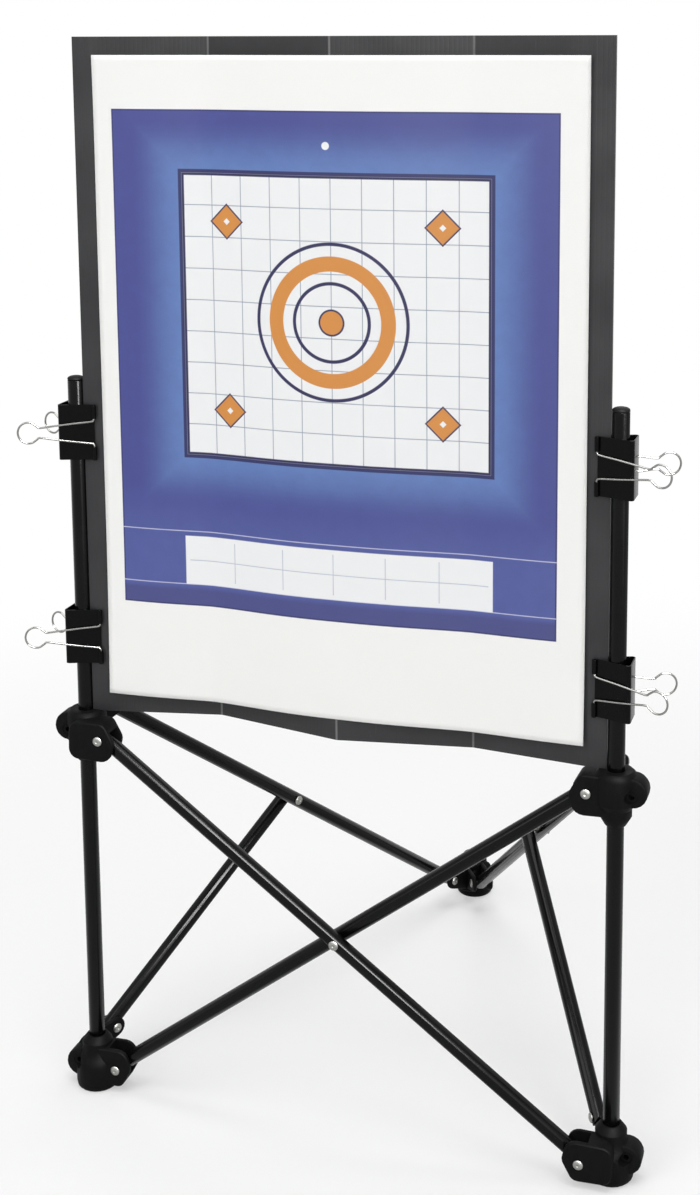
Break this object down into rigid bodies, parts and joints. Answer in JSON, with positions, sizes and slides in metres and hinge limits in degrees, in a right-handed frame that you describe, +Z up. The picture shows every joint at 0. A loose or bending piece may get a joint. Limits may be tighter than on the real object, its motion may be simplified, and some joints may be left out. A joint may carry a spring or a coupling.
{
  "type": "folding target holder",
  "caption": "Free-standing folding target holder: two poles on a sliding scissor with a rear foot, and a folded board and paper sheet held to the poles by wire-handled clips.",
  "frame": {"origin": "on the floor, under the middle of the bounding box", "axes": "+X from the left pole to the right pole, +Y towards the rear foot, +Z up"},
  "size_m": [0.5948, 0.5222, 0.998],
  "materials": {
    "pole_tube": "gloss black powder coat",
    "bar_tube": "gloss black powder coat",
    "pole_cap": "black moulded",
    "fitting": "black moulded, semi-matt",
    "rivet": "plain",
    "board": "corrugated sheet",
    "sheet": "printed",
    "clip": "black enamel",
    "wire": "bright nickel"
  },
  "bodies": {
    "left_post": {"left_pole": "pole_tube", "left_pole_cap": "pole_cap", "left_foot": "fitting", "left_foot_scissor_rivet": "rivet", "left_foot_brace_rivet": "rivet"},
    "rear_bar": {"scissor_bar_rear": "bar_tube"},
    "front_bar": {"scissor_bar_front": "bar_tube", "scissor_crossing_rivet": "rivet"},
    "right_post": {"right_pole": "pole_tube", "right_pole_cap": "pole_cap", "right_foot": "fitting", "right_foot_scissor_rivet": "rivet", "right_foot_brace_rivet": "rivet"},
    "left_hub_body": {"left_hub": "fitting", "left_hub_scissor_rivet": "rivet", "left_hub_diagonal_rivet": "rivet"},
    "right_hub_body": {"right_hub": "fitting", "right_hub_scissor_rivet": "rivet", "right_hub_diagonal_rivet": "rivet"},
    "left_diagonal": {"left_rear_diagonal": "bar_tube"},
    "right_diagonal": {"right_rear_diagonal": "bar_tube"},
    "left_brace_body": {"left_brace": "bar_tube", "left_brace_rivet": "rivet"},
    "right_brace_body": {"right_brace": "bar_tube", "right_brace_rivet": "rivet"},
    "rear_foot_body": {"rear_foot": "fitting", "left_rear_foot_rivet": "rivet", "right_rear_foot_rivet": "rivet"},
    "left_clips": {"left_upper_clip": "clip", "left_lower_clip": "clip", "backer_board": "board", "target_sheet": "sheet"},
    "right_clips": {"right_upper_clip": "clip", "right_lower_clip": "clip"},
    "left_upper_front_wire": {"left_upper_clip_front_handle": "wire"},
    "left_upper_rear_wire": {"left_upper_clip_rear_handle": "wire"},
    "left_lower_front_wire": {"left_lower_clip_front_handle": "wire"},
    "left_lower_rear_wire": {"left_lower_clip_rear_handle": "wire"},
    "right_upper_front_wire": {"right_upper_clip_front_handle": "wire"},
    "right_upper_rear_wire": {"right_upper_clip_rear_handle": "wire"},
    "right_lower_front_wire": {"right_lower_clip_front_handle": "wire"},
    "right_lower_rear_wire": {"right_lower_clip_rear_handle": "wire"}
  },
  "joints": [
    {"name": "fold", "type": "hinge", "parent": "left_post", "child": "rear_bar", "pos_m": [-0.226, -0.23287, 0.022], "axis": [0, -1, 0], "range_deg": [0, 46], "deforming": ["backer_board", "target_sheet"]},
    {"name": "crossing_pivot", "type": "hinge", "parent": "rear_bar", "child": "front_bar", "pos_m": [0, -0.24737, 0.19], "axis": [0, 1, 0], "range_deg": [0, 92]},
    {"name": "right_foot_pivot", "type": "hinge", "parent": "front_bar", "child": "right_post", "pos_m": [0.226, -0.24737, 0.022], "axis": [0, -1, 0], "range_deg": [0, 46]},
    {"name": "left_hub_pivot", "type": "hinge", "parent": "front_bar", "child": "left_hub_body", "pos_m": [-0.226, -0.24737, 0.358], "axis": [0, -1, 0], "range_deg": [0, 46]},
    {"name": "right_hub_pivot", "type": "hinge", "parent": "rear_bar", "child": "right_hub_body", "pos_m": [0.226, -0.23287, 0.358], "axis": [0, 1, 0], "range_deg": [0, 46]},
    {"name": "left_diagonal_pivot", "type": "hinge", "parent": "left_hub_body", "child": "left_diagonal", "pos_m": [-0.246, -0.19587, 0.37], "axis": [-0.866, 0.5, 0], "range_deg": [0, 46]},
    {"name": "right_diagonal_pivot", "type": "hinge", "parent": "right_hub_body", "child": "right_diagonal", "pos_m": [0.246, -0.19587, 0.37], "axis": [-0.866, -0.5, 0], "range_deg": [0, 46]},
    {"name": "left_brace_pivot", "type": "hinge", "parent": "left_post", "child": "left_brace_body", "pos_m": [-0.25856, -0.18862, 0.034], "axis": [0.866, -0.5, 0], "range_deg": [0, 46]},
    {"name": "right_brace_pivot", "type": "hinge", "parent": "right_post", "child": "right_brace_body", "pos_m": [0.23344, -0.20312, 0.034], "axis": [0.866, 0.5, 0], "range_deg": [0, 46]},
    {"name": "rear_foot_pivot", "type": "hinge", "parent": "left_diagonal", "child": "rear_foot_body", "pos_m": [-0.02, 0.19557, 0.034], "axis": [0.866, -0.5, 0], "range_deg": [0, 46]},
    {"name": "left_clips_slide", "type": "slide", "parent": "left_post", "child": "left_clips", "axis": [0, 0, 1], "range_m": [0, 0.225]},
    {"name": "right_clips_slide", "type": "slide", "parent": "right_post", "child": "right_clips", "axis": [0, 0, 1], "range_m": [0, 0.225]},
    {"name": "left_upper_front_flip", "type": "hinge", "parent": "left_clips", "child": "left_upper_front_wire", "pos_m": [-0.23079, -0.23636, 0.643], "axis": [0, 0, 1], "range_deg": [0, 150]},
    {"name": "left_upper_rear_flip", "type": "hinge", "parent": "left_clips", "child": "left_upper_rear_wire", "pos_m": [-0.23079, -0.22738, 0.643], "axis": [0, 0, -1], "range_deg": [0, 150]},
    {"name": "left_lower_front_flip", "type": "hinge", "parent": "left_clips", "child": "left_lower_front_wire", "pos_m": [-0.23079, -0.23636, 0.45], "axis": [0, 0, 1], "range_deg": [0, 150]},
    {"name": "left_lower_rear_flip", "type": "hinge", "parent": "left_clips", "child": "left_lower_rear_wire", "pos_m": [-0.23079, -0.22738, 0.45], "axis": [0, 0, -1], "range_deg": [0, 150]},
    {"name": "right_upper_front_flip", "type": "hinge", "parent": "right_clips", "child": "right_upper_front_wire", "pos_m": [0.23079, -0.23636, 0.643], "axis": [0, 0, 1], "range_deg": [-150, 0]},
    {"name": "right_upper_rear_flip", "type": "hinge", "parent": "right_clips", "child": "right_upper_rear_wire", "pos_m": [0.23079, -0.22738, 0.643], "axis": [0, 0, -1], "range_deg": [-150, 0]},
    {"name": "right_lower_front_flip", "type": "hinge", "parent": "right_clips", "child": "right_lower_front_wire", "pos_m": [0.23079, -0.23636, 0.45], "axis": [0, 0, 1], "range_deg": [-150, 0]},
    {"name": "right_lower_rear_flip", "type": "hinge", "parent": "right_clips", "child": "right_lower_rear_wire", "pos_m": [0.23079, -0.22738, 0.45], "axis": [0, 0, -1], "range_deg": [-150, 0]}
  ],
  "couplings": [
    {"joint": "crossing_pivot", "follows": "fold", "ratio": 2},
    {"joint": "right_foot_pivot", "follows": "fold", "ratio": 1},
    {"joint": "left_hub_pivot", "follows": "fold", "ratio": 1},
    {"joint": "right_hub_pivot", "follows": "fold", "ratio": 1},
    {"joint": "left_diagonal_pivot", "follows": "fold", "ratio": 1},
    {"joint": "right_diagonal_pivot", "follows": "fold", "ratio": 1},
    {"joint": "left_brace_pivot", "follows": "fold", "ratio": 1},
    {"joint": "right_brace_pivot", "follows": "fold", "ratio": 1},
    {"joint": "rear_foot_pivot", "follows": "fold", "ratio": 1},
    {"joint": "left_clips_slide", "follows": "fold", "m_per_rad": 0.28},
    {"joint": "right_clips_slide", "follows": "fold", "m_per_rad": 0.28}
  ]
}
